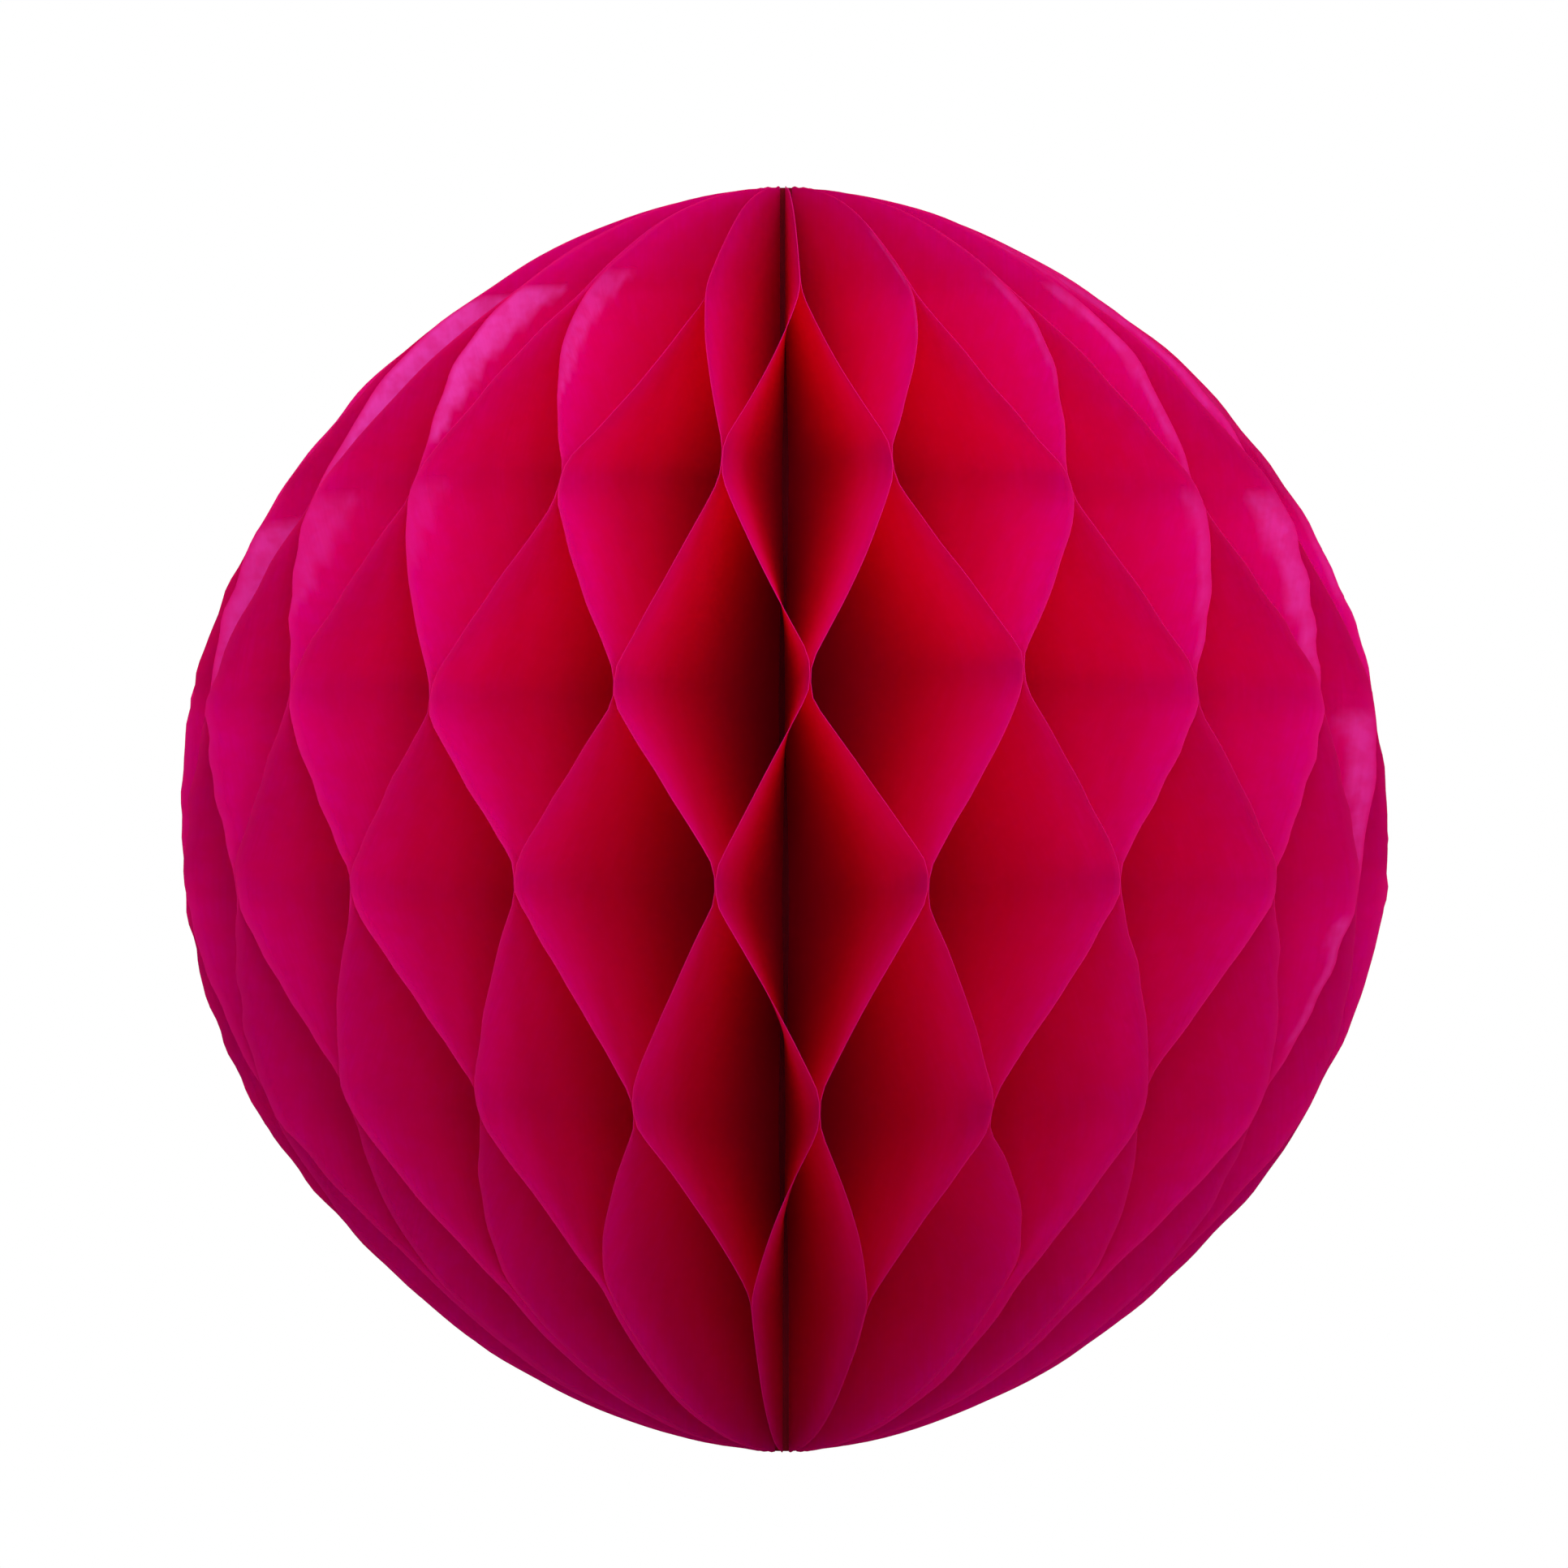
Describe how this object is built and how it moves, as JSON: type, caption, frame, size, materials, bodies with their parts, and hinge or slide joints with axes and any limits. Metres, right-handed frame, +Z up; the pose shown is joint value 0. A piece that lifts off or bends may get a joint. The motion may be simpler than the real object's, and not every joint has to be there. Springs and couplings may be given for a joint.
{
  "type": "honeycomb paper ball",
  "caption": "Round hanging decoration of thin magenta tissue leaves, fanned round a glued spine and bonded along level strips so that they open into diamond cells.",
  "frame": {"origin": "centre of the ball, halfway up the spine", "axes": "+Z up the spine towards the end that it hangs from; -Y is the front, where two glued leaves meet"},
  "size_m": [0.1888, 0.1888, 0.2],
  "materials": {
    "tissue": "thin matt magenta tissue paper",
    "glued_spine": "paper edges soaked with glue, matt"
  },
  "bodies": {
    "root": {"leaf_01": "tissue", "leaf_02": "tissue", "leaf_03": "tissue", "leaf_04": "tissue", "leaf_05": "tissue", "leaf_06": "tissue", "leaf_07": "tissue", "leaf_08": "tissue", "leaf_09": "tissue", "leaf_10": "tissue", "leaf_11": "tissue", "leaf_12": "tissue", "leaf_13": "tissue", "leaf_14": "tissue", "leaf_15": "tissue", "leaf_16": "tissue", "leaf_17": "tissue", "leaf_18": "tissue", "leaf_19": "tissue", "leaf_20": "tissue", "leaf_21": "tissue", "leaf_22": "tissue", "leaf_23": "tissue", "leaf_24": "tissue", "leaf_25": "tissue", "leaf_26": "tissue", "leaf_27": "tissue", "leaf_28": "tissue", "leaf_29": "tissue", "leaf_30": "tissue", "leaf_31": "tissue", "leaf_32": "tissue", "leaf_33": "tissue", "leaf_34": "tissue", "leaf_35": "tissue", "leaf_36": "tissue", "leaf_37": "tissue", "leaf_38": "tissue", "leaf_39": "tissue", "leaf_40": "tissue", "spine_binding": "glued_spine"}
  },
  "joints": []
}
